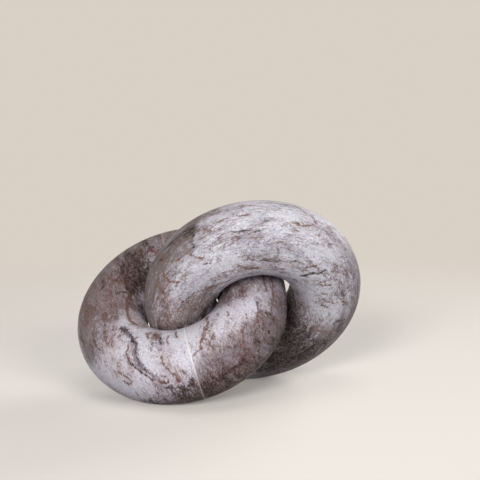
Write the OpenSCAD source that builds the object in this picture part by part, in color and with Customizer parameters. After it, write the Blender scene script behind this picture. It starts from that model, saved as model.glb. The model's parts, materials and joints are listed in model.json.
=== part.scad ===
// Marble knot: two round stone links, linked like a chain and standing on the floor.
// The closed link is carved in one piece. The split link is carved as two halves,
// passed through the closed link, then doweled and glued.
// +Z is up, +X runs from the split link to the closed link, and the origin lies on the
// floor under the middle of the whole object.

/* [Links] */
// Diameter of the closed link's round bar
closed_bar_d = 50; // [30:0.2:80]
// Diameter of the split link's round bar
split_bar_d = 49.2; // [30:0.2:80]
// Gap all round between the closed link's hole and the bar that passes through it
closed_play = 1.2; // [0.6:0.1:8]
// Gap all round between the split link's hole and the bar that passes through it
split_play = 0.8; // [0.6:0.1:8]

/* [Stance] */
// Angle between the split link's ring and the floor
split_tilt = 37; // [34:0.1:56]
// Depth that is ground flat under each link's lowest point
foot_flat = 0.5; // [0.2:0.1:2]

/* [Joint in the split link] */
// Angle round the split link, from its foot to the front joint
joint_angle = 28; // [15:1:75]
// Thickness of the adhesive between the two halves
glue_t = 1; // [0.4:0.1:2]

/* [Dowels] */
// Diameter of the steel dowel in each joint
dowel_d = 8; // [4:0.5:12]
// Length of each dowel
dowel_l = 40; // [20:1:50]
// Chamfer on the ends of each dowel
dowel_chamfer = 0.8; // [0.2:0.1:1.5]
// Thickness of the adhesive round each dowel
dowel_glue = 0.5; // [0.2:0.1:1]
// Depth drilled past each end of a dowel
drill_past = 1; // [0.5:0.5:3]

/* [Hidden] */
$fn = 128;

marble_pale = "#c9c4c8";
marble_brown = "#b3a39f";
adhesive = "#e4ded6";
steel = "#a9adb1";

// Radii of the bars, and of the circles that the middles of the bars follow
closed_r = closed_bar_d / 2;
split_r = split_bar_d / 2;
closed_ring = split_r + closed_r + closed_play;
split_ring = split_r + closed_r + split_play;

// Each link's middle lies on the middle of the other's bar, or a play apart from it
spacing = max(closed_ring, split_ring);

// The rings are square to each other and to the line between their middles. With both links
// down on the floor, the slope of that line is the root of a quadratic in its sine.
foot_rise = split_r - closed_r + split_ring * sin(split_tilt);
slope_a = pow(closed_ring, 2) - pow(spacing, 2);
slope_b = foot_rise * spacing;
slope_c = pow(closed_ring * cos(split_tilt), 2) - pow(foot_rise, 2);
slope_sin = slope_c / (slope_b + sqrt(pow(slope_b, 2) - slope_a * slope_c));
slope = asin(slope_sin);
closed_tilt = asin(sqrt(pow(cos(split_tilt), 2) + pow(slope_sin, 2)));

// Headings of the two ring axes, which lean to opposite sides of the line between the middles
split_heading = -acos(-tan(slope) / tan(split_tilt));
closed_heading = acos(-tan(slope) / tan(closed_tilt));

// Direction of a ring's axis, and how far the ring reaches from its middle along X, Y and Z
function ring_axis(tilt, heading) =
    [sin(tilt) * cos(heading), sin(tilt) * sin(heading), cos(tilt)];
function ring_reach(ring, bar, axis) =
    [for (a = axis) ring * sqrt(1 - a * a) + bar];

closed_reach = ring_reach(closed_ring, closed_r, ring_axis(closed_tilt, closed_heading));
split_reach = ring_reach(split_ring, split_r, ring_axis(split_tilt, split_heading));

// Middles of the links, with the whole object's box centred over the origin
half_span = spacing * cos(slope) / 2;
mid_x = (max(half_span + closed_reach.x, split_reach.x - half_span)
    + min(half_span - closed_reach.x, -half_span - split_reach.x)) / 2;
closed_middle = [half_span - mid_x, 0, closed_reach.z - foot_flat];
split_middle = [-half_span - mid_x, 0, split_reach.z - foot_flat];

// Holes drilled for the dowels, and a size that clears the whole object
hole_d = dowel_d + 2 * dowel_glue;
hole_l = dowel_l + 2 * drill_past;
clear = 4 * (closed_ring + split_ring);

// Puts a ring that lies flat round the origin at its place, with its own +X at its foot
module stand(middle, tilt, heading) {
    translate(middle)
        rotate([0, tilt, heading])
            children();
}

// Round bar bent into a ring, or into the part of one that starts at its own +X
module bent_bar(ring, bar, turn = 360) {
    rotate_extrude(angle = turn)
        translate([ring, 0])
            circle(r = bar);
}

// Everything above the floor, which is what is left when the feet are ground flat
module above_floor() {
    translate([-clear / 2, -clear / 2, 0])
        cube(clear);
}

// Places what lies along Z at the middle of the bar, across the joint at this angle
module across_joint(angle) {
    rotate([0, 0, angle])
        translate([split_ring, 0, 0])
            rotate([90, 0, 0])
                children();
}

// The thin space between the halves at one joint
module joint_gap() {
    cube([2 * split_r + split_play, 2 * split_r + split_play, glue_t], center = true);
}

// Half of the split link, running from one joint to the other, with its dowel holes
module split_half(from_angle) {
    intersection() {
        stand(split_middle, split_tilt, split_heading)
            difference() {
                rotate([0, 0, from_angle])
                    bent_bar(split_ring, split_r, 180);
                for (angle = [joint_angle, joint_angle + 180])
                    across_joint(angle) {
                        joint_gap();
                        cylinder(d = hole_d, h = hole_l, center = true);
                    }
            }
        above_floor();
    }
}

// Adhesive in one joint: a disc between the halves, and a sleeve round the dowel
module joint_glue(angle) {
    stand(split_middle, split_tilt, split_heading)
        difference() {
            union() {
                intersection() {
                    bent_bar(split_ring, split_r);
                    across_joint(angle)
                        joint_gap();
                }
                across_joint(angle)
                    cylinder(d = hole_d, h = dowel_l, center = true);
            }
            across_joint(angle)
                cylinder(d = dowel_d, h = hole_l, center = true);
        }
}

// Plain steel dowel with chamfered ends, half in each half of the split link
module joint_dowel(angle) {
    dowel_r = dowel_d / 2;
    profile = [
        [0, -dowel_l / 2],
        [dowel_r - dowel_chamfer, -dowel_l / 2],
        [dowel_r, dowel_chamfer - dowel_l / 2],
        [dowel_r, dowel_l / 2 - dowel_chamfer],
        [dowel_r - dowel_chamfer, dowel_l / 2],
        [0, dowel_l / 2]
    ];
    stand(split_middle, split_tilt, split_heading)
        across_joint(angle)
            rotate_extrude()
                polygon(profile);
}

// The link on the right, carved in one piece
module closed_link() {
    color(marble_pale)
        intersection() {
            stand(closed_middle, closed_tilt, closed_heading)
                bent_bar(closed_ring, closed_r);
            above_floor();
        }
}

// The half that carries the split link's foot
module split_link_left_half() {
    color(marble_brown)
        split_half(joint_angle - 180);
}

// The half that passes through the closed link
module split_link_right_half() {
    color(marble_brown)
        split_half(joint_angle);
}

module front_joint_glue() {
    color(adhesive)
        joint_glue(joint_angle);
}

module back_joint_glue() {
    color(adhesive)
        joint_glue(joint_angle + 180);
}

module front_joint_dowel() {
    color(steel)
        joint_dowel(joint_angle);
}

module back_joint_dowel() {
    color(steel)
        joint_dowel(joint_angle + 180);
}

closed_link();
split_link_left_half();
split_link_right_half();
front_joint_glue();
back_joint_glue();
front_joint_dowel();
back_joint_dowel();
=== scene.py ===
import bpy
import json
import math
import numpy as np
from mathutils import Matrix, Vector


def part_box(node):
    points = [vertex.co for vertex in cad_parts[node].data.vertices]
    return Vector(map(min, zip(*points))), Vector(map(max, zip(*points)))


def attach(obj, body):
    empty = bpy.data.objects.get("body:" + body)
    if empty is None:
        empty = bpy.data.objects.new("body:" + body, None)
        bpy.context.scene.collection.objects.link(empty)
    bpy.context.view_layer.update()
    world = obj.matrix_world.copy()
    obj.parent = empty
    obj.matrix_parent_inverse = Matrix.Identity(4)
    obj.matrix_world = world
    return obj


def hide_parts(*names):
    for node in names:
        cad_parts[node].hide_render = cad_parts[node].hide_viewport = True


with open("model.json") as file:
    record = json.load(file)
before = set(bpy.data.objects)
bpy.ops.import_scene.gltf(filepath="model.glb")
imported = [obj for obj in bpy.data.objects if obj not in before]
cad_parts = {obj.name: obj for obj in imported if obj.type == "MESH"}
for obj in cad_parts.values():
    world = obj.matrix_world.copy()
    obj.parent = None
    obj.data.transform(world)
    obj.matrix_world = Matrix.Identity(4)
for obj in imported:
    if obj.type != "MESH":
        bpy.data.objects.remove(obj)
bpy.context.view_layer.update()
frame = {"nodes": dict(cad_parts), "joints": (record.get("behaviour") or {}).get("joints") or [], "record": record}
mounts = {mount["name"]: np.array(mount["pos_m"]) for mount in frame["record"]["mounts"]}
mm = 0.001


def linearColour(hexText):
    # sRGB hex to the linear colour that shaders use
    srgb = np.array([int(hexText[i:i + 2], 16) for i in (1, 3, 5)]) / 255
    linear = np.where(srgb <= 0.04045, srgb / 12.92, ((srgb + 0.055) / 1.055) ** 2.4)
    return (*linear.tolist(), 1.0)


def addNode(tree, kind, settings=None, inputs=None):
    # settings are the node's own options, inputs are plain values or sockets to link
    node = tree.nodes.new("ShaderNode" + kind)
    for name, value in (settings or {}).items():
        setattr(node, name, value)
    for socket, value in (inputs or {}).items():
        if isinstance(value, bpy.types.NodeSocket):
            tree.links.new(value, node.inputs[socket])
        else:
            node.inputs[socket].default_value = value
    return node


def newMaterial(name):
    material = bpy.data.materials.new(name)
    material.use_nodes = True
    material.node_tree.nodes.clear()
    return material, material.node_tree


def newObject(name, data):
    thing = bpy.data.objects.new(name, data)
    bpy.context.scene.collection.objects.link(thing)
    return thing


def gridMesh(name, rows, fields=None, wrapRows=False, poles=False, sharpAngle=35):
    # rows is an array of rings of points, each ring closed on itself. Neighbouring rings are joined by
    # quads, the last ring meets the first if wrapRows, and with poles the end rings close on a point.
    # fields are values at the same points, kept in the mesh for its material.
    rowCount, colCount = rows.shape[:2]
    points = rows.reshape(-1, 3)
    index = np.arange(rowCount * colCount).reshape(rowCount, colCount)
    low = index if wrapRows else index[:-1]
    high = np.roll(index, -1, 0) if wrapRows else index[1:]
    faces = np.stack([low, high, np.roll(high, -1, 1), np.roll(low, -1, 1)], -1).reshape(-1, 4).tolist()
    if poles:
        ends = np.stack([rows[0].mean(0), rows[-1].mean(0)])
        first, last = len(points), len(points) + 1
        points = np.concatenate([points, ends])
        turn = np.roll(index, -1, 1)
        faces += np.stack([np.full(colCount, first), index[0], turn[0]], -1).tolist()
        faces += np.stack([np.full(colCount, last), turn[-1], index[-1]], -1).tolist()
    mesh = bpy.data.meshes.new(name)
    mesh.from_pydata(points.tolist(), [], faces)
    mesh.shade_smooth()
    mesh.set_sharp_from_angle(angle=math.radians(sharpAngle))
    for fieldName, values in (fields or {}).items():
        width = values.shape[2:]
        flat = values.reshape(-1, *width)
        if poles:
            flat = np.concatenate([flat, [values[0].mean(0), values[-1].mean(0)]])
        attribute = mesh.attributes.new(fieldName, "FLOAT_VECTOR" if width else "FLOAT", "POINT")
        attribute.data.foreach_set("vector" if width else "value", flat.astype(np.float32).reshape(-1))
    return newObject(name, mesh)


def ringFrame(centre, foot, ringRadius):
    # x runs from the ring's middle down to its foot and z is square to the ring. On the floor plan the
    # foot lies ringRadius * cos(tilt) from the middle, which gives the tilt.
    plan = foot[:2] - centre[:2]
    level = plan / np.linalg.norm(plan)
    tilt = math.acos(np.linalg.norm(plan) / ringRadius)
    xAxis = np.array([*(level * math.cos(tilt)), -math.sin(tilt)])
    zAxis = np.array([*(level * math.sin(tilt)), math.cos(tilt)])
    return np.array([xAxis, np.cross(zAxis, xAxis), zAxis])


def barTurns(link):
    # Even steps round the bar, in degrees
    return np.arange(link["barSteps"]) * 360 / link["barSteps"]


def barPoint(link, ringAngle, barAngle, radius, offset=0.0):
    # Ring radius plus a turn of the given radius round the bar, swept to the ring angle; offset shifts
    # the point along the bar. Angles are in degrees from the foot and from the outermost side.
    a, b = np.radians(ringAngle), np.radians(barAngle)
    xAxis, yAxis, zAxis = link["axes"]
    outward = np.cos(a)[..., None] * xAxis + np.sin(a)[..., None] * yAxis
    along = -np.sin(a)[..., None] * xAxis + np.cos(a)[..., None] * yAxis
    reach = (link["ringRadius"] + radius * np.cos(b))[..., None] * outward
    return link["centre"] + reach + (radius * np.sin(b))[..., None] * zAxis + offset * along


def halfTurn(angle):
    # The same angle, between -180 and 180 degrees
    return (angle + 180) % 360 - 180


def strokeField(link, ringAngle, barAngle, places, width):
    # Distance over the stone's skin to a line of (ring, bar) angles, as 1 on the line and 0 a width in mm
    # away. The steps are the mm in a degree, and a single place gives a spot.
    ringStep = np.radians(1) * (link["ringRadius"] + link["barRadius"] * np.cos(np.radians(barAngle))) / mm
    barStep = np.radians(1) * link["barRadius"] / mm
    tiny = 1e-9  # keeps a spot from dividing by 0
    nearest = np.full(np.shape(ringAngle), np.inf)
    for start, end in zip(places, places[1:] or places):
        ringGap = halfTurn(ringAngle - start[0]) * ringStep
        barGap = halfTurn(barAngle - start[1]) * barStep
        ringRun = halfTurn(end[0] - start[0]) * ringStep
        barRun = halfTurn(end[1] - start[1]) * barStep
        share = np.clip((ringGap * ringRun + barGap * barRun) / (ringRun ** 2 + barRun ** 2 + tiny), 0, 1)
        nearest = np.minimum(nearest, np.hypot(ringGap - share * ringRun, barGap - share * barRun))
    return np.clip(1 - nearest / width, 0, 1)


# Hand carving: slow waves as (turns round the ring, turns round the bar, start in radians)
carving = {"height": 0.12 * mm, "waves": [(3, 1, 0.4), (5, -2, 1.9), (2, 3, 0.0)]}


def carvedLift(link, ringAngle, barAngle):
    # The mean of the sine waves, lowered so that it is never proud of the true round, less a smooth bowl
    # for each hollow, given as (depth in mm, reach in mm, place)
    a, b = np.radians(ringAngle), np.radians(barAngle)
    waves = sum(np.sin(ring * a + bar * b + start) for ring, bar, start in carving["waves"])
    lift = carving["height"] * (waves / len(carving["waves"]) - 1)
    for depth, reach, place in link["hollows"]:
        near = strokeField(link, ringAngle, barAngle, [place], reach)
        lift = lift - depth * mm * (near * (2 - near)) ** 2
    return lift


# The six kinds of mark in the stone, each a value at every point of its skin; some strokes of ink, haze and chalk
# are painted shade or painted light. Strokes wander a little, and those finer than a hairline in mm have a faint
# halo.
stainKinds = ("ink", "rust", "violet", "haze", "blush", "chalk")
stroke = {"wander": 0.3 * mm, "hairline": 3.2, "haloWidth": 3.5, "haloStrength": 0.15}


def stainFields(link, ringAngle, barAngle):
    # Each kind of stain is the soft union of its strokes, 1 minus the product of what each leaves clear.
    # Small sine waves make the strokes wander, prime numbers of them round ring and bar so that no repeat
    # shows.
    a, b = np.radians(ringAngle), np.radians(barAngle)
    ringWander = np.sin(19 * b + 3 * np.sin(11 * a)) + 0.5 * np.sin(61 * b - 23 * a + 2 * np.sin(29 * b))
    barWander = np.sin(37 * a + 3 * np.sin(7 * b)) + 0.5 * np.sin(101 * a + 17 * b + 2 * np.sin(43 * a))
    ringAngle = ringAngle + np.degrees(stroke["wander"] / link["ringRadius"]) * ringWander
    barAngle = barAngle + np.degrees(stroke["wander"] / link["barRadius"]) * barWander
    clear = {kind: np.ones(np.shape(ringAngle)) for kind in stainKinds}
    for kind, width, strength, places in link["stains"]:
        line = strokeField(link, ringAngle, barAngle, places, width)
        if width < stroke["hairline"]:
            halo = strokeField(link, ringAngle, barAngle, places, stroke["haloWidth"] * width)
            line = np.maximum(line, stroke["haloStrength"] * halo)
        clear[kind] = clear[kind] * (1 - strength * line)
    return {kind: 1 - left for kind, left in clear.items()}


def ringFlow(link, ringAngle, barAngle):
    # Beds that run round with the bar: a circle of the ring's radius by a circle of the bar's radius, so
    # the place along the bar and the place round it both close on themselves
    a, b = np.radians(ringAngle), np.radians(barAngle)
    ring, bar = link["ringRadius"], link["barRadius"]
    flow = np.stack([ring * np.cos(a), ring * np.sin(a), bar * np.cos(b)], -1)
    return {"flow": flow, "flowSide": bar * np.sin(b)}


def planeFlow(link, points):
    # Flat parallel beds: the place along two directions in the bed and then across it
    across = np.array(link["bed"]) / np.linalg.norm(link["bed"])
    level = np.cross(across, [0, 0, 1])
    level = level / np.linalg.norm(level)
    flow = points @ np.array([level, np.cross(across, level), across]).T
    return {"flow": flow, "flowSide": np.zeros(points.shape[:2])}


# Stains, some of them painted shade or painted light, are (kind, width in mm, strength, places as ring and bar
# angles in degrees)
closedLink = {
    "ringRadius": 50.8 * mm,
    "barRadius": 25.0 * mm,
    "centre": np.array(frame["joints"][0]["pos_m"]),
    "foot": mounts["closed_link_foot"],
    "ringSteps": 480,
    "barSteps": 206,
    "hollows": [],
    "stains": [
        # left end, where the bar comes forward out of the split link
        ("blush", 32, 0.7, [(88, 296), (100, 296), (96, 268)]),
        ("haze", 22, 1.0, [(80, 346), (100, 350), (116, 354), (136, 4)]),
        ("haze", 20, 0.85, [(76, 262), (92, 262), (108, 262), (122, 258)]),
        ("rust", 13, 0.18, [(114, 345), (112, 325), (102, 318)]),
        ("rust", 15, 0.32, [(86, 302), (95, 292), (104, 280), (116, 268)]),
        ("rust", 1.5, 1.0, [(117, 334), (116, 326), (116, 315), (119, 303)]),
        ("rust", 1.5, 0.9, [(121, 353), (120, 347)]),
        ("rust", 1.5, 0.9, [(110, 332), (102, 330), (98, 325)]),
        ("rust", 1.4, 0.9, [(108, 324), (107, 313)]),
        ("rust", 1.5, 0.8, [(127, 329), (130, 325)]),
        ("ink", 1.4, 0.8, [(108, 282), (113, 275), (120, 272), (124, 266)]),
        ("rust", 1.8, 0.8, [(127, 263), (134, 253), (143, 247), (150, 245)]),
        ("haze", 10, 0.6, [(80, 310), (84, 296), (87, 280), (90, 268), (95, 256)]),
        # painted shade where this link meets the split link: a dark line along the contact and the dark gap beside
        # it
        ("ink", 6, 0.55, [(76, 322), (78, 310), (80, 296), (82, 282), (85, 268), (89, 254)]),
        ("ink", 10, 0.85, [(92, 238), (98, 226), (104, 214), (100, 200)]),
        ("haze", 10, 0.7, [(98, 246), (106, 236), (114, 226)]),
        # grey patch and the dark stain round it
        ("haze", 12, 0.9, [(136, 2), (134, 352), (132, 342)]),
        ("haze", 20, 1.0, [(106, 0), (124, 6), (140, 358)]),
        ("ink", 9, 0.55, [(112, 4), (128, 2), (143, 0)]),
        ("haze", 16, 0.6, [(96, 346), (108, 336), (118, 340)]),
        ("haze", 8, 0.7, [(140, 20), (148, 22), (156, 20)]),
        ("ink", 4.0, 0.65, [(142, 356), (142, 346), (140, 337), (139, 331)]),
        ("rust", 1.2, 0.75, [(136, 338), (136, 324), (138, 314), (141, 306)]),
        ("ink", 1.6, 0.7, [(140, 298), (144, 296)]),
        # top of the arch
        ("chalk", 18, 0.55, [(150, 330), (172, 340), (-172, 342)]),
        # pale stone, partly painted light: the chalk along the underside of the arch stands in for bounce light
        # falling there
        ("chalk", 20, 0.9, [(140, 246), (165, 246), (-172, 248)]),
        ("chalk", 22, 0.9, [(-160, 256), (-135, 264), (-112, 262)]),
        ("chalk", 22, 0.9, [(-152, 292), (-132, 286), (-112, 280), (-96, 270)]),
        ("chalk", 14, 0.7, [(125, 310), (148, 285), (160, 285)]),
        ("chalk", 18, 0.9, [(-170, 340), (-154, 330), (-136, 312), (-120, 292)]),
        ("haze", 15, 0.3, [(162, 320), (175, 312), (-172, 308), (-160, 302)]),
        ("ink", 1.2, 0.6, [(161, 327), (173, 321), (180, 322)]),
        ("rust", 1.2, 0.7, [(153, 355), (156, 348), (161, 351)]),
        ("rust", 1.2, 0.8, [(167, 348), (171, 348)]),
        ("rust", 1.2, 0.7, [(148, 348), (151, 338)]),
        ("rust", 1.2, 0.6, [(165, 14), (169, 13), (175, 10)]),
        ("rust", 1.2, 0.9, [(170, 315), (174, 308)]),
        ("rust", 1.2, 0.8, [(163, 312)]),
        ("ink", 1.2, 0.9, [(169, 303)]),
        ("rust", 1.2, 0.8, [(172, 298)]),
        ("ink", 1.2, 0.9, [(176, 290)]),
        ("rust", 1.2, 0.9, [(-174, 293), (-173, 287)]),
        ("rust", 1.2, 0.7, [(151, 298)]),
        ("ink", 1.2, 0.7, [(166, 280), (174, 274), (-178, 274), (-164, 274), (-159, 279)]),
        ("rust", 8, 0.4, [(159, 270), (172, 262), (-176, 266), (-160, 268)]),
        ("rust", 1.2, 0.9, [(159, 272), (168, 260), (173, 259)]),
        ("rust", 1.2, 0.8, [(142, 272), (146, 261)]),
        ("rust", 1.2, 0.8, [(147, 270), (154, 267)]),
        # right shoulder
        ("rust", 1.2, 0.8, [(-164, 16), (-160, 10), (-158, 0), (-155, 0)]),
        ("rust", 1.2, 0.8, [(-154, 356), (-153, 346)]),
        ("rust", 1.2, 0.9, [(-164, 337), (-160, 334), (-156, 339)]),
        ("rust", 1.2, 0.8, [(-166, 327), (-163, 324)]),
        ("rust", 1.2, 0.8, [(-171, 323)]),
        ("ink", 1.2, 0.7, [(-163, 340)]),
        ("ink", 1.2, 0.8, [(-158, 311)]),
        ("rust", 1.2, 0.8, [(-151, 328)]),
        ("ink", 1.8, 0.9, [(-147, 255), (-144, 264), (-141, 272), (-137, 277), (-136, 286)]),
        ("rust", 1.2, 0.9, [(-149, 275), (-144, 285)]),
        ("rust", 1.2, 0.8, [(-133, 305), (-130, 304), (-127, 298)]),
        ("rust", 1.2, 0.7, [(-122, 313), (-120, 309)]),
        ("rust", 1.2, 0.8, [(-131, 343), (-130, 337)]),
        ("rust", 1.2, 0.7, [(-144, 354), (-143, 349)]),
        ("rust", 1.2, 0.7, [(-119, 344), (-118, 338)]),
        ("rust", 1.2, 0.7, [(-116, 328), (-113, 322)]),
        ("rust", 1.2, 1.0, [(-127, 265), (-122, 277)]),
        ("rust", 1.2, 0.8, [(-129, 270), (-127, 285)]),
        ("violet", 20, 0.3, [(-142, 345), (-124, 318), (-110, 290)]),
        ("violet", 16, 0.25, [(-150, 262), (-132, 272), (-112, 262)]),
        ("violet", 17, 0.5, [(160, 318), (172, 306), (-176, 300), (-162, 298)]),
        # right side down to where it goes behind the split link
        ("chalk", 14, 0.5, [(-88, 258), (-78, 264), (-70, 270)]),
        ("haze", 18, 0.85, [(-124, 352), (-104, 332), (-84, 316)]),
        # partly dark stone and partly painted shadow cast by the split link: the haze and ink below, where this
        # bar passes beside and behind it
        ("haze", 30, 1.0, [(-70, 226), (-45, 242), (-20, 266)]),
        ("haze", 18, 1.0, [(-108, 194), (-88, 206), (-66, 218)]),
        ("haze", 26, 1.0, [(-64, 294), (-50, 284), (-30, 276)]),
        ("rust", 20, 0.12, [(-66, 262), (-50, 262), (-34, 266)]),
        ("haze", 20, 0.9, [(-80, 318), (-58, 300), (-40, 286), (-14, 284)]),
        ("ink", 14, 0.6, [(-54, 282), (-38, 276), (-14, 274)]),
        ("ink", 17, 0.85, [(-92, 192), (-72, 206), (-58, 218), (-44, 230), (-30, 242), (-16, 258)]),
        ("ink", 14, 0.8, [(-62, 236), (-44, 250), (-30, 258)]),
        ("ink", 9, 0.65, [(-60, 268), (-48, 270), (-36, 270)]),
        ("ink", 1.8, 0.5, [(-82, 276), (-84, 284), (-84, 292)]),
        ("rust", 1.2, 1.0, [(-70, 251), (-73, 266)]),
        ("ink", 1.2, 0.9, [(-69, 264)]),
        ("ink", 2.2, 1.0, [(-46, 232), (-52, 236), (-57, 247)]),
        ("ink", 2.2, 1.0, [(-42, 257), (-49, 261), (-58, 272)]),
        ("ink", 2.2, 1.0, [(-42, 268), (-49, 283)]),
        ("ink", 2.4, 0.9, [(-28, 248), (-35, 266)]),
        ("ink", 2.4, 0.55, [(-70, 289), (-73, 295), (-76, 304)]),
        ("ink", 2.4, 0.6, [(-55, 296), (-63, 288), (-68, 296)]),
        ("rust", 24, 0.16, [(-130, 262), (-114, 268), (-98, 278)]),
        ("rust", 18, 0.15, [(-150, 332), (-136, 322), (-124, 306)]),
        ("violet", 2.6, 0.9, [(-126, 302), (-122, 304)]),
        ("violet", 2.6, 0.9, [(-124, 324), (-120, 322)]),
        ("rust", 1.2, 0.7, [(-118, 258), (-115, 266)]),
        ("rust", 1.2, 0.6, [(-112, 252), (-109, 260)]),
        ("rust", 1.2, 0.7, [(-107, 262), (-104, 272)]),
        ("rust", 1.2, 0.6, [(-112, 272), (-110, 282)]),
        ("rust", 1.2, 0.6, [(-103, 254), (-100, 262)]),
        ("rust", 2.0, 0.8, [(-102, 290), (-98, 298)]),
        ("rust", 1.2, 0.8, [(-108, 240), (-106, 246)]),
        ("rust", 1.2, 0.8, [(-92, 271)]),
        # sides that the front view doesn't reach
        ("haze", 30, 0.5, [(10, 200), (40, 160), (60, 200)]),
        ("blush", 30, 0.6, [(-20, 60), (20, 40), (60, 70)]),
        ("ink", 6, 0.6, [(-30, 90), (-5, 70), (20, 85), (45, 110)]),
        ("haze", 22, 0.5, [(-150, 120), (-120, 90), (-90, 110)]),
        ("rust", 12, 0.45, [(120, 60), (150, 90), (180, 80)]),
        ("chalk", 25, 0.7, [(170, 40), (-150, 50), (-120, 40)]),
        ("rust", 1.8, 0.9, [(100, 120), (120, 100), (150, 110), (175, 95)]),
        ("ink", 1.8, 0.8, [(-100, 60), (-115, 80), (-120, 105), (-140, 130)]),
    ],
}

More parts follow.
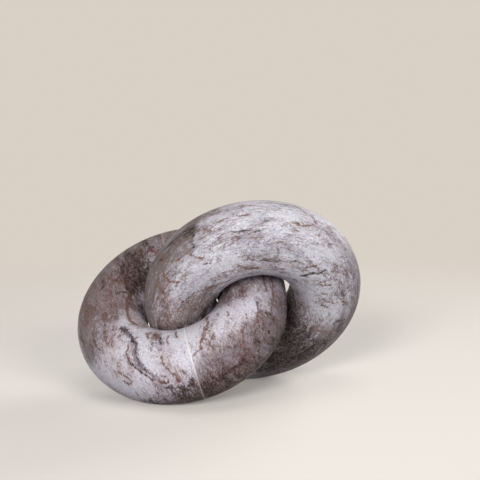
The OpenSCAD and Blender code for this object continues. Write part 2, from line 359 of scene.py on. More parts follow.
splitLink = {
    "ringRadius": 50.4 * mm,
    "barRadius": 24.6 * mm,
    "centre": np.mean([np.add(*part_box(node)) / 2 for node in ("front_joint_glue", "back_joint_glue")], 0),
    "foot": mounts["split_link_foot"],
    "bed": (0.88, -0.18, 0.44),  # square to the beds of the stone
    "jointAngle": 28.0,  # degrees round the ring from its foot
    "glueThickness": 1.0 * mm,
    "seamEdge": 1.0 * mm,  # width of the outermost faces of a seam's disc
    "faceInsets": np.array([1.5, 5, 11, 16]) * mm,  # rings across a joint face, in from its rim
    "holeRadius": 4.5 * mm,
    "holeDepth": 21.0 * mm,
    "dowelRadius": 4.0 * mm,
    "dowelLength": 40.0 * mm,
    "ringSteps": 340,
    "barSteps": 250,
    "hollows": [(1.4, 28, (107, 355))],  # the right end is flatter than a true round
    "stains": [
        # dark vein that winds down the front, with its cluster at the top
        ("violet", 4.8, 1.0, [(-31, 99), (-20, 96), (-14, 88), (-9, 76), (-6, 62), (-2, 50)]),
        ("violet", 3.4, 0.8, [(-2, 50), (4, 41), (9, 33)]),
        ("ink", 2.4, 0.8, [(-31, 99), (-26, 98), (-20, 96), (-16, 91)]),
        ("ink", 1.5, 0.9, [(-26, 104), (-28, 101)]),
        ("ink", 1.8, 0.7, [(-15, 88), (-10, 86), (-8, 76), (-7, 69), (-5, 62)]),
        ("ink", 1.8, 0.65, [(-5, 62), (-4, 55), (-1, 49), (2, 44), (4, 41)]),
        ("rust", 1.3, 0.95, [(-15, 79), (-13, 65), (-11, 59), (-8, 53), (-3, 46), (1, 39), (5, 32),
                             (7, 33), (9, 27), (13, 26)]),
        ("ink", 1.2, 0.7, [(-8, 53), (-3, 46), (1, 39), (5, 32)]),
        ("rust", 1.2, 0.8, [(10, 37), (13, 35), (13, 26)]),
        ("chalk", 10, 1.0, [(-4, 100), (-3, 80), (1, 60), (6, 45)]),
        ("chalk", 14, 1.0, [(30, 125), (26, 95), (24, 70), (22, 50)]),
        ("chalk", 17, 1.0, [(35, 80), (44, 92), (56, 108)]),
        ("chalk", 10, 0.8, [(-38, 112), (-20, 118)]),
        ("chalk", 9, 0.9, [(-14, 108), (12, 112), (36, 110)]),
        ("chalk", 16, 0.8, [(62, 86), (74, 76), (88, 62), (98, 66)]),
        # rust dashes to the left of the vein
        ("rust", 1.4, 0.9, [(-16, 35), (-11, 31), (-7, 26)]),
        ("rust", 1.4, 0.9, [(-12, 22), (-9, 19), (-7, 25)]),
        ("rust", 1.3, 0.8, [(-9, 36), (-7, 33)]),
        ("ink", 1.3, 0.7, [(-16, 41)]),
        ("ink", 1.3, 0.6, [(-17, 48)]),
        ("rust", 1.3, 0.7, [(-56, 91), (-50, 91), (-43, 82), (-37, 74), (-33, 68)]),
        ("rust", 1.5, 0.9, [(-35, 87)]),
        ("rust", 1.5, 0.9, [(-26, 86)]),
        ("rust", 1.4, 0.7, [(-30, 71)]),
        ("rust", 1.5, 0.9, [(-13, 97), (-13, 93)]),
        ("rust", 1.4, 0.8, [(-20, 115)]),
        ("blush", 16, 0.6, [(-26, 65), (-20, 50), (-14, 35)]),
        ("rust", 10, 0.2, [(-28, 70), (-18, 50), (-8, 28)]),
        # brown line on the hole side of the left bar
        ("rust", 2.0, 1.0, [(-84, 130), (-68, 130), (-57, 127), (-47, 125), (-37, 122), (-28, 124)]),
        ("blush", 14, 0.7, [(-70, 140), (-45, 132), (-25, 132)]),
        # rust frame and violet spot above the joint
        ("rust", 6, 0.85, [(-5, 112), (1, 112), (3, 100)]),
        ("rust", 1.5, 1.0, [(-7, 110), (-3, 98)]),
        ("violet", 3.6, 1.0, [(5, 110), (8, 96), (10, 88)]),
        ("ink", 1.6, 0.6, [(6, 106), (8, 96), (9, 90)]),
        ("rust", 1.9, 1.0, [(13, 104), (14, 87)]),
        ("rust", 1.5, 1.0, [(20, 114), (21, 98)]),
        ("rust", 1.3, 0.6, [(2, 87), (4, 76)]),
        ("rust", 1.4, 0.8, [(10, 65), (12, 56), (13, 49), (17, 38)]),
        ("blush", 8, 0.6, [(10, 70), (14, 52), (20, 35)]),
        ("rust", 1.5, 0.9, [(18, 33), (19, 25)]),
        ("rust", 8, 0.25, [(14, 40), (22, 30)]),
        # dark patch under the joint, painted shade along the underside right of it (partly darker stone) and the
        # pale stone left of it
        ("ink", 5, 0.8, [(14, 17), (15, 9), (16, 0), (18, 350)]),
        ("ink", 4, 0.7, [(19, 14), (22, 8), (25, 22)]),
        # painted shade on the underside near the floor, partly darker stone
        ("ink", 15, 0.8, [(2, 336), (16, 340), (30, 334)]),
        ("ink", 16, 0.6, [(22, 340), (45, 342), (70, 346), (98, 350)]),
        ("haze", 26, 1.0, [(26, 338), (50, 340), (80, 350)]),
        ("haze", 18, 1.0, [(38, 16), (62, 18), (86, 16)]),
        # painted shade where the right end goes behind the closed link
        ("haze", 18, 0.9, [(82, 126), (98, 118)]),
        ("haze", 22, 0.6, [(92, 14), (99, 44), (102, 74)]),
        ("violet", 18, 0.35, [(96, 18), (101, 46), (104, 70)]),
        ("haze", 17, 0.6, [(98, 60), (94, 92), (84, 120)]),
        # painted shade on the right end's outer rim, then more where it goes behind the closed link
        ("ink", 12, 0.5, [(104, 346), (110, 8), (108, 34)]),
        ("ink", 10, 0.4, [(84, 130), (98, 122), (106, 104)]),
        ("ink", 2.2, 0.9, [(28, 6), (30, 359)]),
        ("ink", 11, 0.35, [(32, 6), (38, 8), (46, 358)]),
        ("haze", 16, 0.7, [(32, 26), (40, 30), (48, 36)]),
        ("rust", 12, 0.45, [(34, 14), (42, 10), (54, 12)]),
        ("ink", 2.4, 1.0, [(36, 15), (38, 6), (42, 10), (46, 15), (53, 14)]),
        ("ink", 2.4, 0.8, [(47, 356)]),
        ("ink", 1.6, 0.8, [(3, 359)]),
        ("chalk", 24, 0.95, [(-58, 2), (-32, 10), (-8, 14)]),
        ("chalk", 16, 0.8, [(-26, 40), (-12, 100), (-2, 108)]),
        # right of the joint
        ("rust", 1.8, 1.0, [(54, 124), (49, 104), (46, 94)]),
        ("rust", 1.5, 0.9, [(46, 94), (43, 90), (40, 82), (37, 75), (35, 64), (29, 58)]),
        ("rust", 1.4, 0.8, [(48, 78), (44, 71), (39, 60)]),
        ("rust", 1.6, 0.8, [(67, 95), (64, 89)]),
        ("rust", 1.8, 0.6, [(76, 111), (72, 100)]),
        ("rust", 1.6, 0.6, [(64, 110), (60, 102)]),
        ("rust", 4, 0.45, [(96, 96), (88, 87)]),
        ("rust", 1.5, 0.8, [(63, 55), (60, 47)]),
        ("rust", 1.8, 0.9, [(59, 41), (56, 39)]),
        ("rust", 1.5, 0.8, [(72, 67), (70, 62)]),
        ("ink", 1.1, 0.8, [(84, 62), (80, 57)]),
        ("rust", 1.5, 0.9, [(78, 54), (72, 46)]),
        ("rust", 1.6, 0.85, [(107, 47), (99, 46), (93, 41), (88, 40), (84, 37)]),
        ("ink", 1.3, 0.9, [(107, 63), (102, 62), (95, 55)]),
        ("ink", 1.6, 0.8, [(81, 44), (82, 35)]),
        ("ink", 1.5, 0.8, [(72, 40)]),
        ("ink", 1.5, 0.8, [(72, 33)]),
        ("ink", 1.5, 0.7, [(66, 44)]),
        ("ink", 1.5, 0.8, [(74, 20)]),
        ("ink", 1.5, 0.7, [(71, 24)]),
        ("ink", 1.8, 0.8, [(73, 10)]),
        ("ink", 1.5, 0.7, [(66, 22)]),
        ("ink", 1.5, 0.7, [(77, 26)]),
        ("ink", 1.5, 0.9, [(63, 13)]),
        ("ink", 1.5, 0.6, [(53, 41), (48, 51)]),
        ("blush", 24, 0.6, [(44, 50), (56, 56), (72, 34), (76, 10)]),
        ("haze", 24, 0.8, [(44, 30), (62, 26), (82, 16)]),
        ("rust", 18, 0.08, [(56, 100), (60, 62), (52, 40), (70, 20)]),
        ("rust", 9, 0.25, [(40, 66), (52, 110)]),
        ("violet", 20, 0.35, [(40, 40), (58, 50), (76, 36), (84, 16)]),
        ("ink", 12, 0.14, [(36, 22), (50, 18), (66, 20), (80, 26)]),
        ("violet", 14, 0.25, [(38, 30), (54, 26), (72, 32)]),
        # left bar and the back
        ("haze", 30, 1.0, [(-48, 58), (-70, 72), (-95, 70), (-120, 60)]),
        ("haze", 22, 0.7, [(-85, 45), (-110, 40), (-145, 60)]),
        ("haze", 24, 0.6, [(-168, 64), (-148, 74)]),
        ("haze", 28, 1.0, [(-136, 84), (-120, 104), (-100, 112)]),
        ("haze", 22, 0.75, [(-58, 84), (-80, 90), (-104, 86)]),
        ("ink", 19, 0.8, [(-122, 102), (-112, 116), (-98, 130)]),
        ("haze", 18, 0.95, [(-64, 104), (-80, 108), (-92, 102)]),
        ("haze", 13, 0.6, [(-90, 106), (-78, 104), (-66, 106)]),
        ("haze", 15, 0.9, [(-60, 40), (-48, 36), (-38, 34)]),
        # painted shade on the hole side of the left bar
        ("haze", 13, 0.5, [(-100, 146), (-84, 152), (-64, 158)]),
        ("haze", 14, 0.9, [(-100, 46), (-118, 44), (-134, 52)]),
        ("blush", 24, 0.6, [(-55, 60), (-75, 60), (-95, 75)]),
        ("blush", 14, 0.5, [(-55, 105), (-75, 108), (-90, 112)]),
        ("rust", 1.4, 0.7, [(-72, 53), (-63, 63), (-55, 59)]),
        ("rust", 1.4, 0.68, [(-98, 48), (-86, 45), (-74, 47), (-62, 42)]),
        ("rust", 1.4, 0.68, [(-92, 58), (-80, 55), (-68, 58)]),
        ("ink", 1.3, 0.7, [(-72, 40), (-60, 36), (-48, 34)]),
        ("rust", 1.4, 0.68, [(-60, 52), (-50, 47), (-40, 45)]),
        ("rust", 1.4, 0.68, [(-80, 77), (-71, 80), (-62, 78)]),
        ("rust", 1.4, 0.68, [(-108, 84), (-99, 88), (-91, 86)]),
        ("rust", 1.3, 0.9, [(-46, 58), (-38, 52), (-30, 50)]),
        ("rust", 1.6, 0.9, [(-93, 99), (-96, 102), (-94, 107)]),
        ("rust", 1.8, 0.9, [(-88, 96), (-85, 100), (-78, 101), (-75, 105)]),
        ("rust", 1.3, 0.8, [(-71, 104), (-62, 103)]),
        ("rust", 1.3, 0.8, [(-66, 110), (-61, 110)]),
        ("rust", 1.6, 1.0, [(-70, 96)]),
        ("rust", 1.6, 0.8, [(-57, 92), (-51, 92)]),
        ("ink", 1.6, 0.7, [(-79, 112), (-82, 117), (-84, 124), (-85, 130)]),
        ("ink", 1.8, 0.9, [(-94, 79), (-92, 78)]),
        ("ink", 1.8, 0.9, [(-86, 84), (-83, 85)]),
        ("ink", 7, 0.6, [(-122, 87), (-123, 98), (-117, 102)]),
        ("ink", 9, 0.55, [(-112, 112), (-118, 120), (-104, 128), (-98, 134)]),
        ("ink", 5, 0.9, [(-101, 122), (-105, 132)]),
        ("ink", 4, 0.9, [(-117, 132), (-113, 137)]),
        ("ink", 2.0, 0.9, [(-110, 94), (-108, 97), (-102, 103)]),
        ("rust", 6, 0.7, [(-105, 108), (-94, 120), (-100, 112)]),
        ("rust", 5, 0.7, [(-112, 104), (-116, 112)]),
        ("ink", 4, 0.9, [(-139, 66), (-139, 86), (-141, 96)]),
        ("rust", 3, 1.0, [(-138, 99), (-141, 105), (-143, 112)]),
        ("rust", 2.4, 0.9, [(-132, 89), (-129, 104)]),
        ("ink", 2.2, 0.8, [(-119, 76), (-126, 60), (-126, 40)]),
        ("chalk", 8, 0.4, [(-134, 112), (-147, 90)]),
        # sides that the front view doesn't reach
        ("ink", 3.0, 0.8, [(-139, 66), (-138, 30), (-140, 350), (-137, 310), (-139, 270)]),
        ("rust", 4.0, 0.8, [(-125, 40), (-124, 0), (-127, 320), (-122, 280)]),
        ("haze", 34, 0.6, [(-170, 20), (170, 340), (150, 0)]),
        ("ink", 6, 0.7, [(150, 60), (140, 20), (146, 340), (138, 300)]),
        ("rust", 10, 0.5, [(125, 70), (120, 20), (126, 330), (118, 290)]),
        ("chalk", 16, 0.7, [(165, 90), (172, 40), (168, 350)]),
        ("blush", 26, 0.6, [(120, 220), (150, 240), (-170, 260)]),
        ("rust", 14, 0.45, [(60, 310), (20, 290), (-30, 300), (-70, 300)]),
        ("haze", 30, 0.6, [(-60, 280), (0, 250), (60, 260)]),
        ("ink", 1.8, 0.9, [(-10, 300), (-14, 270), (-22, 240), (-30, 215)]),
        ("ink", 5, 0.7, [(-100, 200), (-112, 230), (-108, 265)]),
        ("rust", 1.8, 0.9, [(50, 300), (46, 265), (52, 235), (60, 205)]),
    ],
}

for link in (closedLink, splitLink):
    link["axes"] = ringFrame(link["centre"], link["foot"], link["ringRadius"])
print("links stand on the frame's own feet")


# Closed link: one unbroken bar, ground flat where it meets the floor
ringTurn = np.arange(closedLink["ringSteps"]) * 360 / closedLink["ringSteps"]
ringAngles, barAngles = np.meshgrid(ringTurn, barTurns(closedLink), indexing="ij")
barRadii = closedLink["barRadius"] + carvedLift(closedLink, ringAngles, barAngles)
skin = barPoint(closedLink, ringAngles, barAngles, barRadii)
skin[..., 2] = np.maximum(skin[..., 2], 0)
fields = stainFields(closedLink, ringAngles, barAngles) | ringFlow(closedLink, ringAngles, barAngles)
closedStone = gridMesh("closedStone", skin, fields, wrapRows=True)
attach(closedStone, "closed_link")
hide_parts("closed_link")
print("closed link", len(closedStone.data.polygons), "faces")


def splitHalf(name, startAngle):
    # Half a turn of bar between two flat faces. The face lies half the glue's thickness from the joint
    # plane, so the bar starts asin(half / distance from the ring's middle) past it. At each end the
    # rings then run in across the face, down the dowel hole and close at its bottom.
    link = splitLink
    half = link["glueThickness"] / 2
    barTurn = barTurns(link)
    fromMiddle = link["ringRadius"] + link["barRadius"] * np.cos(np.radians(barTurn))
    inset = np.degrees(np.arcsin(half / fromMiddle))
    share = np.linspace(0, 1, link["ringSteps"])[:, None]
    ringAngles = startAngle + inset + share * (180 - 2 * inset)
    barAngles = np.broadcast_to(barTurn, ringAngles.shape)
    barRadii = link["barRadius"] + carvedLift(link, ringAngles, barAngles)
    skin = barPoint(link, ringAngles, barAngles, barRadii)
    skin[..., 2] = np.maximum(skin[..., 2], 0)
    hole, bottom = link["holeRadius"], link["holeDepth"]
    inward = [(link["barRadius"] - step, half) for step in link["faceInsets"]]
    inward += [(hole, half), (hole, bottom / 2), (hole, bottom), (hole / 2, bottom)]
    ends = []
    for angle, side in ((startAngle, 1), (startAngle + 180, -1)):
        turn = np.full(link["barSteps"], angle)
        ends.append([barPoint(link, turn, barTurn, np.full(turn.shape, radius), side * depth)
                     for radius, depth in inward])
    rows = np.concatenate([ends[0][::-1], skin, ends[1]])
    inner = len(inward)
    fields = {kind: np.pad(field, ((inner, inner), (0, 0)), mode="edge")
              for kind, field in stainFields(link, ringAngles, barAngles).items()}
    piece = gridMesh(name, rows, fields | planeFlow(link, rows), poles=True)
    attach(piece, "split_link")
    print(name, len(piece.data.polygons), "faces")
    return piece


splitLeftStone = splitHalf("splitLeftStone", splitLink["jointAngle"] - 180)
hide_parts("split_link_left_half")
splitRightStone = splitHalf("splitRightStone", splitLink["jointAngle"])
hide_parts("split_link_right_half")


def jointSeam(name, angle):
    # A disc of adhesive between the faces and a sleeve round the dowel: one closed outline of radius and
    # depth, turned round the dowel
    link = splitLink
    half = link["glueThickness"] / 2
    barTurn = barTurns(link)
    turn = np.full(link["barSteps"], angle)
    rim = link["barRadius"] + carvedLift(link, turn, barTurn)
    edge = rim - link["seamEdge"]
    hole, dowel, end = link["holeRadius"], link["dowelRadius"], link["dowelLength"] / 2
    outline = [(dowel, -end), (hole, -end), (hole, -half), (edge, -half), (rim, -half),
               (rim, half), (edge, half), (hole, half), (hole, end), (dowel, end)]
    rows = np.stack([barPoint(link, turn, barTurn, np.broadcast_to(radius, turn.shape), depth)
                     for radius, depth in outline])
    piece = gridMesh(name, rows, wrapRows=True)
    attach(piece, "split_link")
    return piece


frontSeam = jointSeam("frontSeam", splitLink["jointAngle"])
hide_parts("front_joint_glue")
backSeam = jointSeam("backSeam", splitLink["jointAngle"] + 180)
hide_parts("back_joint_glue")
print("joint seams turned")


# Honed marble: a matt satin skin, clouded pale ground, fine streaks along the beds of the stone, rust
# where iron has bled along them and near-black veins and patches. The grain of the skin is drawn at about
# 1 mm, coarser than a hone leaves it, so that it shows.
honedSkin = {"grain": 1.2 * mm, "spread": (0.3, 0.7), "tone": (0.8, 1.18), "roughness": (0.5, 0.64),
             "relief": 0.15 * mm, "bump": 0.25, "ior": 1.5, "specular": 0.2}

# folds are the bends in the beds as (size in mm, swing in mm, seed), run is the length of streaks in mm,
# clean keeps marks off the chalk, hairs and threads give more veins, and grit is the strength of grains
closedMarble = {
    "name": "honedMarblePale",
    "colours": {
        "pale": "#cbc8d0", "cool": "#b2adb6", "chalk": "#cecbd2", "blush": "#ae9796", "haze": "#6f6460",
        "streak": "#807a81", "mist": "#907b77", "fleck": "#6a5b5d", "hair": "#69534f", "rust": "#7d5c4d",
        "violet": "#857c8a", "shade": "#4c4140", "ink": "#1c1513", "inkCool": "#262024",
    },
    "folds": [(38, 12, 0), (14, 4, 5)], "run": 6, "clean": 0.15, "hairs": 0.36, "threads": 0.0,
    "grit": 0.75, "seed": 3.0,
}
splitMarble = {
    "name": "honedMarbleBrown",
    "colours": {
        "pale": "#c4bdc6", "cool": "#aea1aa", "chalk": "#c4c0c8", "blush": "#a39089", "haze": "#665856",
        "streak": "#83757b", "mist": "#866d69", "fleck": "#594645", "hair": "#533935", "rust": "#6a4a42",
        "violet": "#685b68", "shade": "#56403a", "ink": "#1b100c", "inkCool": "#291b1a",
    },
    "folds": [(38, 16, 0), (14, 4, 5)], "run": 4.6, "clean": 0.6, "hairs": 0.26, "threads": 0.04,
    "grit": 0.9, "seed": 11.0,
}


def marble(stone):
    material, tree = newMaterial(stone["name"])
    tints = {name: linearColour(colour) for name, colour in stone["colours"].items()}
    parts = {kind: addNode(tree, "Attribute", {"attribute_name": kind}).outputs["Fac"] for kind in stainKinds}
    bent = addNode(tree, "Attribute", {"attribute_name": "flow"}).outputs["Vector"]
    parts["flowSide"] = addNode(tree, "Attribute", {"attribute_name": "flowSide"}).outputs["Fac"]
    place = addNode(tree, "TexCoord").outputs["Object"]

    # the place in the beds, bent by adding swing * noise for each fold
    for size, swing, seed in stone["folds"]:
        fold = addNode(tree, "TexNoise", {"noise_dimensions": "4D"},
                       {"Vector": place, "W": stone["seed"] + seed, "Scale": 1 / (size * mm), "Detail": 2.0})
        bent = addNode(tree, "VectorMath", {"operation": "MULTIPLY_ADD"},
                       {0: fold.outputs["Color"], 1: (swing * mm,) * 3, 2: bent}).outputs["Vector"]

    def summed(weights, base=0.0):
        # base plus the sum of weight * part over the named parts
        total = base
        for name, weight in weights.items():
            total = addNode(tree, "Math", {"operation": "MULTIPLY_ADD"},
                            {0: parts[name], 1: weight, 2: total}).outputs[0]
        return total

    def bedPlace(alongBed, acrossBed, seed):
        # the place in the bent beds, counted in sizes in mm along and across them
        along, across = 1 / (alongBed * mm), 1 / (acrossBed * mm)
        beds = addNode(tree, "VectorMath", {"operation": "MULTIPLY"}, {0: bent, 1: (along, along, across)})
        side = summed({"flowSide": across}, stone["seed"] + seed)
        return {"Vector": beds.outputs["Vector"], "W": side, "Scale": 1.0}

    def lay(under, tint, weights, start, full, strength):
        # the tint over what is under it: none where the summed parts are below start, most from full on
        amount = addNode(tree, "MapRange", {"interpolation_type": "SMOOTHSTEP"},
                         {"Value": summed(weights), "From Min": start, "From Max": full, "To Max": strength})
        return addNode(tree, "Mix", {"data_type": "RGBA"},
                       {0: amount.outputs["Result"], 6: under, 7: tint}).outputs[2]

    # noises as (size along the beds, size across them, detail, seed), less a half to swing about 0
    run = stone["run"]
    middle = 0.5
    noises = {
        "clouds": (18, 9, 5, 10), "drift": (15, 6, 4, 15), "bands": (run, 1.6, 3, 20),
        "laces": (0.5 * run, 1.2, 3, 40), "hairs": (1.3 * run, 5, 2, 50), "wisps": (0.8 * run, 3.2, 2, 52),
        "threads": (28, 7, 3, 55), "fine": (1.6, 0.9, 2, 70), "flecks": (3, 1.3, 4, 80),
        "dashes": (2.8, 0.95, 2, 90),
    }
    for name, (alongBed, acrossBed, detail, seed) in noises.items():
        noise = addNode(tree, "TexNoise", {"noise_dimensions": "4D"},
                        bedPlace(alongBed, acrossBed, seed) | {"Detail": detail, "Roughness": 0.6})
        parts[name] = addNode(tree, "Math", {"operation": "SUBTRACT"},
                              {0: noise.outputs["Fac"], 1: middle}).outputs[0]

    # crystals, sized as the coarsest real ones are, each with three values of its own
    crystal = {"alongBed": 1.3, "acrossBed": 0.8, "seed": 95}
    crystals = addNode(tree, "TexVoronoi", {"voronoi_dimensions": "4D"}, bedPlace(**crystal))
    lots = addNode(tree, "VectorMath", {"operation": "SUBTRACT"},
                   {0: crystals.outputs["Color"], 1: (middle,) * 3})
    lots = addNode(tree, "SeparateXYZ", {}, {"Vector": lots.outputs["Vector"]}).outputs
    parts |= {"lotA": lots["X"], "lotB": lots["Y"], "lotC": lots["Z"]}

    # veins lie where a noise crosses 0. The gap is its distance from 0, and a vein ends where the gap,
    # counted in widths of the vein, is more than the density of veins there.
    for name in ("hairs", "wisps", "threads"):
        parts[name + "Gap"] = addNode(tree, "Math", {"operation": "ABSOLUTE"}, {0: parts[name]}).outputs[0]
    hairWidth, wispWidth, threadWidth, webWidth = 0.05, 0.035, 0.05, 0.03
    veinEdge, veinStrength = 0.4, 0.65
    clean, grit, threads = stone["clean"], stone["grit"], stone["threads"]
    mostHairs = 0.6
    density = summed({"rust": 1, "chalk": -clean, "drift": 3}, stone["hairs"])
    parts["hairDensity"] = addNode(tree, "Math", {"operation": "MINIMUM"},
                                   {0: density, 1: mostHairs}).outputs[0]

    # dark veins vary between two near-blacks, and dark patches keep to the strokes of ink
    tints["dark"] = lay(tints["ink"], tints["inkCool"], {"clouds": 1}, -0.1, 0.1, 1)
    inkOnly = addNode(tree, "MapRange", {"interpolation_type": "SMOOTHSTEP"},
                      {"Value": parts["ink"], "From Max": 0.3, "To Max": 0.85}).outputs["Result"]

    # layers from the ground up: tint, weights of the parts, start, full, strength
    layers = [
        ("pale", {"clouds": 1}, -0.12, 0.12, 1),
        ("chalk", {"chalk": 1, "clouds": 1.4, "bands": 0.5}, 0.2, 0.8, 0.9),
        ("blush", {"blush": 1, "drift": 1.2, "bands": 1}, 0.15, 0.85, 0.75),
        ("streak", {"bands": 1, "drift": 0.7, "chalk": -0.2 * clean}, -0.02, 0.12, 0.4),
        ("haze", {"haze": 1, "drift": 1, "bands": 1, "flecks": 1.4}, 0.1, 1, 0.85),
        ("mist", {"rust": 1, "drift": 1.6}, 0.12, 0.85, 0.55),
        # single crystals, brown, violet and white
        ("hair", {"lotA": 1, "drift": 1.5, "chalk": -0.35 * clean}, 0.28, 0.4, 0.48 * grit),
        ("violet", {"lotB": 1, "clouds": 1.5, "chalk": -0.35 * clean}, 0.26, 0.38, 0.44 * grit),
        ("chalk", {"lotC": 1, "haze": -0.2, "bands": 1}, 0.24, 0.36, 0.42),
        # violet stains, flecks, dashes and hair veins
        ("violet", {"violet": 1, "laces": 1.8, "fine": 1, "lotC": 0.5}, 0.22, 0.9, 0.8),
        ("fleck", {"rust": 0.7, "chalk": -0.7 * clean, "drift": 1.5, "flecks": 2.4}, 0.21, 0.76, 0.75),
        ("rust", {"rust": 0.6, "chalk": -0.6 * clean, "drift": 0.7, "dashes": 2.2}, 0.32, 0.52, 0.7),
        ("hair", {"hairDensity": 1, "hairsGap": -1 / hairWidth}, 0, veinEdge, veinStrength),
        ("rust", {"hairDensity": 1, "wispsGap": -1 / wispWidth}, 0, veinEdge, veinStrength),
        # rust stains, then the shade round ink, dark veins, ink and the thin webbing over it
        ("rust", {"rust": 1, "laces": 1, "flecks": 1.4, "fine": 1.2, "lotA": 0.5}, 0.44, 0.85, 0.75),
        ("shade", {"ink": 1, "drift": 0.8, "bands": 1.4, "flecks": 1}, 0.1, 0.85, 0.6),
        ("dark", {"ink": 1, "drift": 2.4, "threadsGap": -1 / threadWidth},
         -threads, veinEdge - threads, veinStrength),
        ("dark", {"ink": 1, "laces": 1.8, "drift": 1.2, "flecks": 1.6, "lotB": 0.5}, 0.4, 0.95, inkOnly),
        ("haze", {"ink": 1, "wispsGap": -1 / webWidth}, 0, veinEdge, veinStrength),
        # specks over all
        ("hair", {"fine": 1, "haze": 0.04, "chalk": -0.13 * clean}, 0.13, 0.23, 0.7 * grit),
    ]
    colour = tints["cool"]
    for tint, weights, start, full, strength in layers:
        colour = lay(colour, tints[tint], weights, start, full, strength)

    grain = addNode(tree, "TexNoise", {},
                    {"Vector": place, "Scale": 1 / honedSkin["grain"], "Detail": 3.0}).outputs["Fac"]
    fromGrain = {}
    for name in ("tone", "roughness"):
        (low, high), (least, most) = honedSkin["spread"], honedSkin[name]
        fromGrain[name] = addNode(tree, "MapRange", {},
                                  {"Value": grain, "From Min": low, "From Max": high,
                                   "To Min": least, "To Max": most}).outputs["Result"]
    grainy = addNode(tree, "HueSaturation", {}, {"Color": colour, "Value": fromGrain["tone"]})
    bump = addNode(tree, "Bump", {},
                   {"Strength": honedSkin["bump"], "Distance": honedSkin["relief"], "Height": grain})
    shader = addNode(tree, "BsdfPrincipled", {},
                     {"Base Color": grainy.outputs["Color"], "Roughness": fromGrain["roughness"],
                      "IOR": honedSkin["ior"], "Specular IOR Level": honedSkin["specular"],
                      "Normal": bump.outputs["Normal"]})
    addNode(tree, "OutputMaterial", {}, {"Surface": shader.outputs["BSDF"]})
    return material


closedStone.data.materials.append(marble(closedMarble))
brownMarble = marble(splitMarble)
splitLeftStone.data.materials.append(brownMarble)
splitRightStone.data.materials.append(brownMarble)
print("marble laid in beds")


# Polyester stone adhesive, filled with marble dust, tinted to the stone beside it and ground flush: an
# even pale line at the front and a duller one at the back, both with painted shade darker towards the floor.
# The dust is drawn coarser than it is, so that it shows.
adhesive = {"dust": 1.2 * mm, "paintedShade": "#877c75", "shadeFullBelow": 15 * mm, "shadeGoneAbove": 36 * mm,
            "roughness": 0.55, "ior": 1.52}
seamFillers = {
    "stoneAdhesivePale": {"seam": frontSeam, "light": "#dcd7d6", "dull": "#c8c1c0"},
    "stoneAdhesiveDull": {"seam": backSeam, "light": "#a39999", "dull": "#867c7b"},
}
for name, filler in seamFillers.items():
    material, tree = newMaterial(name)
    place = addNode(tree, "TexCoord").outputs["Object"]
    dust = addNode(tree, "TexNoise", {}, {"Vector": place, "Scale": 1 / adhesive["dust"], "Detail": 3.0})
    dusty = addNode(tree, "Mix", {"data_type": "RGBA"},
                    {0: dust.outputs["Fac"],
                     6: linearColour(filler["dull"]), 7: linearColour(filler["light"])})
    height = addNode(tree, "SeparateXYZ", {}, {"Vector": place}).outputs["Z"]
    # painted shade: the seam's colour darkens towards the floor
    lowShade = addNode(tree, "MapRange", {"interpolation_type": "SMOOTHSTEP"},
                   {"Value": height, "From Min": adhesive["shadeFullBelow"], "From Max": adhesive["shadeGoneAbove"],
                    "To Min": 1.0, "To Max": 0.0})
    colour = addNode(tree, "Mix", {"data_type": "RGBA"},
                     {0: lowShade.outputs["Result"], 6: dusty.outputs[2], 7: linearColour(adhesive["paintedShade"])})
    shader = addNode(tree, "BsdfPrincipled", {},
                     {"Base Color": colour.outputs[2],
                      "Roughness": adhesive["roughness"], "IOR": adhesive["ior"]})
    addNode(tree, "OutputMaterial", {}, {"Surface": shader.outputs["BSDF"]})
    filler["seam"].data.materials.append(material)

# Drawn stainless rod, hidden in the stone: bright, with lines along its length, drawn coarser than real
# ones so that they show
dowelRod = {"name": "drawnStainlessRod", "light": "#b9bbbd", "dark": "#8f9295", "roughness": 0.32,
            "lineWidth": 0.3 * mm, "lineLength": 12 * mm}
material, tree = newMaterial(dowelRod["name"])
place = addNode(tree, "TexCoord").outputs["Object"]
rodTurn = Matrix(splitLink["axes"].tolist()).transposed().to_euler()
lines = addNode(tree, "Mapping", {"vector_type": "TEXTURE"},
                {"Vector": place, "Rotation": rodTurn,
                 "Scale": (dowelRod["lineWidth"], dowelRod["lineLength"], dowelRod["lineWidth"])})
drawn = addNode(tree, "TexNoise", {}, {"Vector": lines.outputs["Vector"], "Scale": 1.0, "Detail": 2.0})
colour = addNode(tree, "Mix", {"data_type": "RGBA"},
                 {0: drawn.outputs["Fac"],
                  6: linearColour(dowelRod["dark"]), 7: linearColour(dowelRod["light"])})
shader = addNode(tree, "BsdfPrincipled", {},
                 {"Base Color": colour.outputs[2], "Metallic": 1.0, "Roughness": dowelRod["roughness"]})
addNode(tree, "OutputMaterial", {}, {"Surface": shader.outputs["BSDF"]})
for node in ("front_joint_dowel", "back_joint_dowel"):
    frame["nodes"][node].data.materials.clear()
    frame["nodes"][node].data.materials.append(material)
print("seams and dowels finished")


def seenRay(tree):
    # 1 for rays that show the background: straight, mirrored or passed through; 0 for soft light
    path = addNode(tree, "LightPath").outputs
    bent = addNode(tree, "Math", {"operation": "ADD"},
                   {0: path["Is Glossy Ray"], 1: path["Is Transmission Ray"]})
    return addNode(tree, "Math", {"operation": "ADD", "use_clamp": True},
                   {0: path["Is Camera Ray"], 1: bent.outputs[0]}).outputs[0]


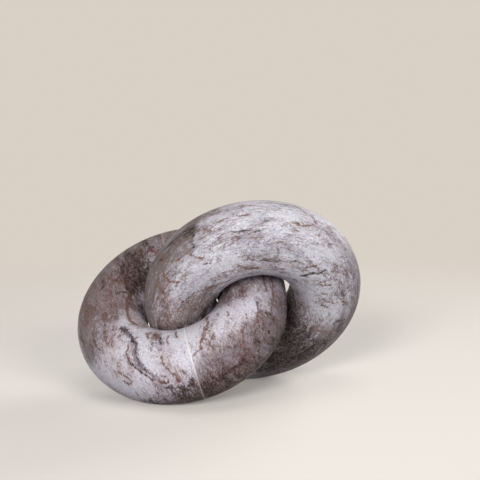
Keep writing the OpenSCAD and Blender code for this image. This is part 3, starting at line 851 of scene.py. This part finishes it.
# Floor: a square of matt studio paper, pale and without gloss, that fades into the background
stage = {"halfSide": 2.5, "drop": 0.05 * mm, "fadeFrom": 0.15, "fadeTo": 0.75, "floor": "#fbf5ed",
         "bounce": "#767479", "glow": 0.12, "backdrop": "#d9d0c6", "ambient": 0.08}
corners = stage["halfSide"] * np.array([(-1, -1, 0), (1, -1, 0), (1, 1, 0), (-1, 1, 0)])
corners = corners - (0, 0, stage["drop"])
floorMesh = bpy.data.meshes.new("floor")
floorMesh.from_pydata(corners.tolist(), [], [(0, 1, 2, 3)])
floor = newObject("floor", floorMesh)
material, tree = newMaterial("mattStudioPaper")
place = addNode(tree, "TexCoord").outputs["Object"]
away = addNode(tree, "VectorMath", {"operation": "LENGTH"}, {0: place}).outputs["Value"]
fade = addNode(tree, "MapRange", {"interpolation_type": "SMOOTHSTEP"},
               {"Value": away, "From Min": stage["fadeFrom"], "From Max": stage["fadeTo"]}).outputs["Result"]
seen = seenRay(tree)
tint = addNode(tree, "Mix", {"data_type": "RGBA"},
               {0: seen, 6: linearColour(stage["bounce"]), 7: linearColour(stage["floor"])}).outputs[2]
matt = addNode(tree, "BsdfDiffuse", {}, {"Color": tint})
glow = addNode(tree, "Emission", {}, {"Color": linearColour(stage["floor"])})
lift = addNode(tree, "Math", {"operation": "MULTIPLY"}, {0: seen, 1: stage["glow"]}).outputs[0]
paper = addNode(tree, "MixShader", {}, {0: lift, 1: matt.outputs[0], 2: glow.outputs[0]})
clear = addNode(tree, "BsdfTransparent")
faded = addNode(tree, "MixShader", {}, {0: fade, 1: paper.outputs[0], 2: clear.outputs[0]})
addNode(tree, "OutputMaterial", {}, {"Surface": faded.outputs[0]})
floor.data.materials.append(material)

# The world gives a little even light, and shows the backdrop's colour where it is seen
world = bpy.data.worlds.new("studio")
bpy.context.scene.world = world
world.use_nodes = True
tree = world.node_tree
tree.nodes.clear()
lit = addNode(tree, "Background", {}, {"Color": linearColour("#ffffff"), "Strength": stage["ambient"]})
shown = addNode(tree, "Background", {}, {"Color": linearColour(stage["backdrop"]), "Strength": 1.0})
sky = addNode(tree, "MixShader", {}, {0: seenRay(tree), 1: lit.outputs[0], 2: shown.outputs[0]})
addNode(tree, "OutputWorld", {}, {"Surface": sky.outputs[0]})

# Soft boxes: (name, place, size in metres, power in watts), all turned to the knot
lamps = [
    ("keyBox", (-0.67, -2.07, 0.81), 0.72, 42.0),
    ("topBox", (0.14, -0.29, 2.15), 1.3, 6.3),
    ("backBox", (1.25, 1.5, 0.8), 1.3, 25.0),
    ("sideBox", (1.23, -1.67, 0.77), 1.3, 23.1),
]
knotMiddle = Vector((0, 0, 0.06))
for name, spot, size, power in lamps:
    lamp = bpy.data.lights.new(name, "AREA")
    lamp.shape = "DISK"
    lamp.size = size
    lamp.energy = power
    holder = newObject(name, lamp)
    holder.location = spot
    holder.rotation_euler = (knotMiddle - Vector(spot)).to_track_quat("-Z", "Y").to_euler()

# Camera fitted to the outlines of both links in the photograph
photoCamera = {"place": (0.0148, -0.68783, 0.1866), "pitchDown": 6.8, "lens": 75, "sensor": 36}
camera = bpy.data.cameras.new("photoCamera")
camera.lens = photoCamera["lens"]
camera.sensor_width = photoCamera["sensor"]
viewer = newObject("photoCamera", camera)
viewer.location = photoCamera["place"]
viewer.rotation_euler = (math.radians(90 - photoCamera["pitchDown"]), 0, 0)
bpy.context.scene.camera = viewer
bpy.context.scene.view_settings.view_transform = "Standard"
print("stage lit")
